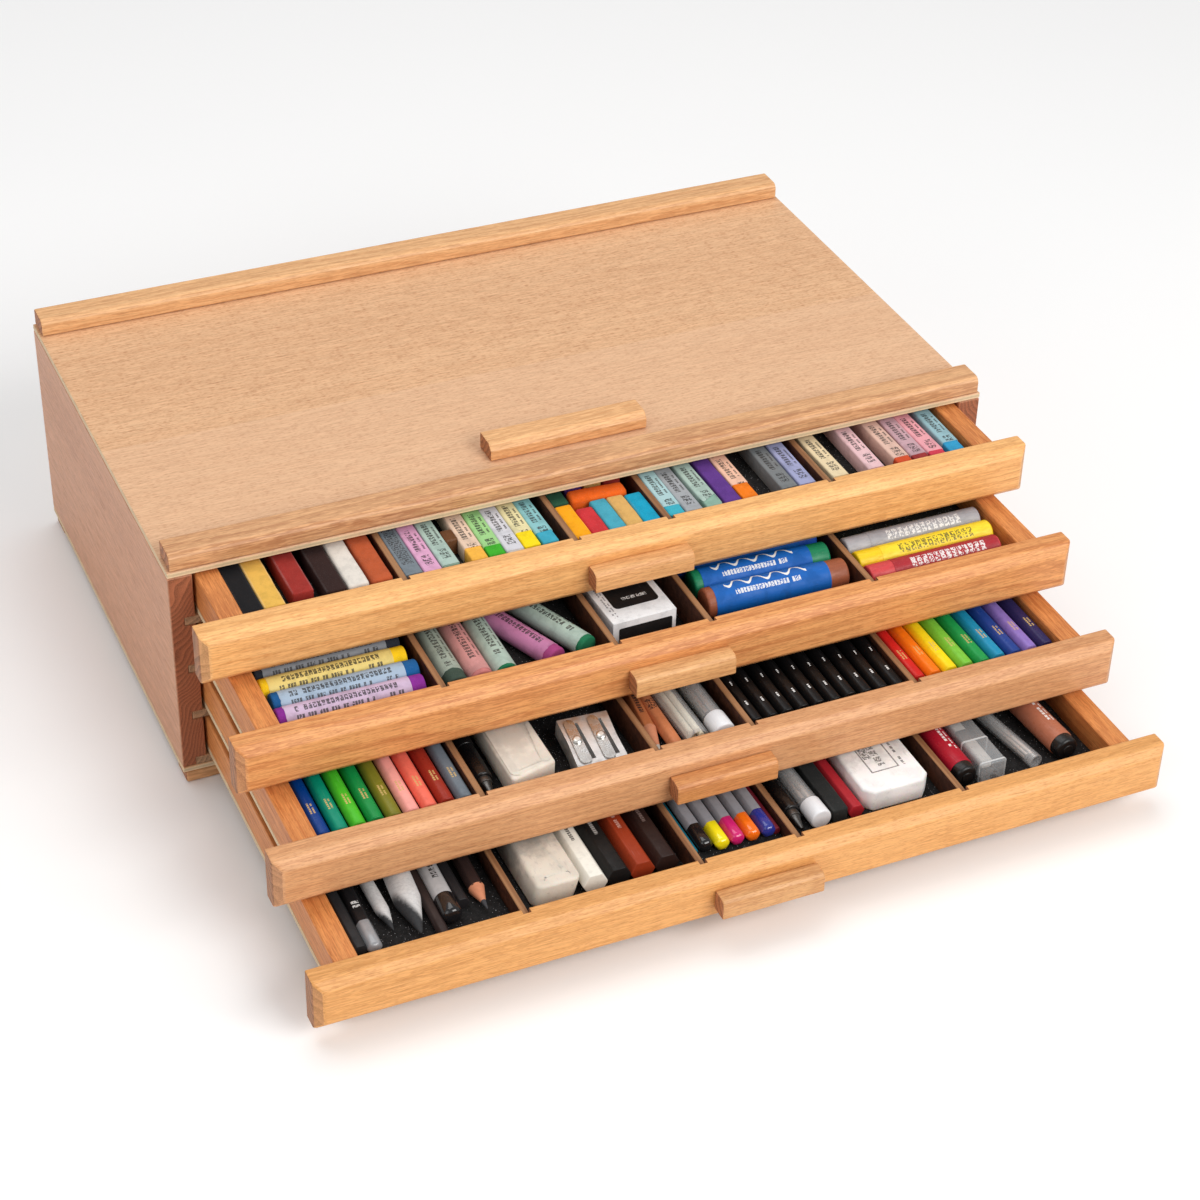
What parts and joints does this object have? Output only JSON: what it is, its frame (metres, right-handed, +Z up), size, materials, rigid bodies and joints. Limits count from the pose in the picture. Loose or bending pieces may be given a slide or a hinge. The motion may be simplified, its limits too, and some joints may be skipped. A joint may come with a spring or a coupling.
{
  "type": "wooden art supply box",
  "caption": "Low wooden cabinet with shallow divided drawers that slide forward in steps on wooden runners, for pastels, pencils and other drawing materials.",
  "frame": {"origin": "midpoint of the whole outline seen from above, drawers at their drawn-out rest positions, on the plane the feet stand on", "axes": "+X to the right as seen from the front, +Y from the drawer fronts to the back, +Z up"},
  "size_m": [0.4, 0.4196, 0.1242],
  "materials": {
    "side_beech": "satin",
    "panel_ply": "satin",
    "rail_beech": "satin",
    "runner_beech": "satin",
    "front_beech": "satin",
    "box_beech": "satin",
    "divider_board": "matte"
  },
  "bodies": {
    "cabinet": {"side_left": "side_beech", "side_right": "side_beech", "back_panel": "panel_ply", "bottom_panel": "panel_ply", "top_panel": "panel_ply", "top_rail_front": "rail_beech", "top_rail_back": "rail_beech", "foot_rail_front": "rail_beech", "foot_rail_back": "rail_beech", "top_pull": "rail_beech", "runner_left_1": "runner_beech", "runner_left_2": "runner_beech", "runner_left_3": "runner_beech", "runner_left_4": "runner_beech", "runner_right_1": "runner_beech", "runner_right_2": "runner_beech", "runner_right_3": "runner_beech", "runner_right_4": "runner_beech"},
    "drawer_1": {"drawer_1_front": "front_beech", "drawer_1_side_left": "box_beech", "drawer_1_side_right": "box_beech", "drawer_1_back": "box_beech", "drawer_1_bottom": "panel_ply", "drawer_1_pull": "rail_beech", "drawer_1_divider_1": "divider_board", "drawer_1_divider_2": "divider_board", "drawer_1_divider_3": "divider_board", "drawer_1_divider_4": "divider_board"},
    "drawer_2": {"drawer_2_front": "front_beech", "drawer_2_side_left": "box_beech", "drawer_2_side_right": "box_beech", "drawer_2_back": "box_beech", "drawer_2_bottom": "panel_ply", "drawer_2_pull": "rail_beech", "drawer_2_divider_1": "divider_board", "drawer_2_divider_2": "divider_board", "drawer_2_divider_3": "divider_board", "drawer_2_divider_4": "divider_board"},
    "drawer_3": {"drawer_3_front": "front_beech", "drawer_3_side_left": "box_beech", "drawer_3_side_right": "box_beech", "drawer_3_back": "box_beech", "drawer_3_bottom": "panel_ply", "drawer_3_pull": "rail_beech", "drawer_3_divider_1": "divider_board", "drawer_3_divider_2": "divider_board", "drawer_3_divider_3": "divider_board", "drawer_3_divider_4": "divider_board"},
    "drawer_4": {"drawer_4_front": "front_beech", "drawer_4_side_left": "box_beech", "drawer_4_side_right": "box_beech", "drawer_4_back": "box_beech", "drawer_4_bottom": "panel_ply", "drawer_4_pull": "rail_beech", "drawer_4_divider_1": "divider_board", "drawer_4_divider_2": "divider_board", "drawer_4_divider_3": "divider_board", "drawer_4_divider_4": "divider_board"}
  },
  "joints": [
    {"name": "drawer_1_slide", "type": "slide", "parent": "cabinet", "child": "drawer_1", "axis": [0, -1, 0], "range_m": [-0.0345, 0.145]},
    {"name": "drawer_2_slide", "type": "slide", "parent": "cabinet", "child": "drawer_2", "axis": [0, -1, 0], "range_m": [-0.0795, 0.1]},
    {"name": "drawer_3_slide", "type": "slide", "parent": "cabinet", "child": "drawer_3", "axis": [0, -1, 0], "range_m": [-0.1235, 0.056]},
    {"name": "drawer_4_slide", "type": "slide", "parent": "cabinet", "child": "drawer_4", "axis": [0, -1, 0], "range_m": [-0.1705, 0.009]}
  ]
}
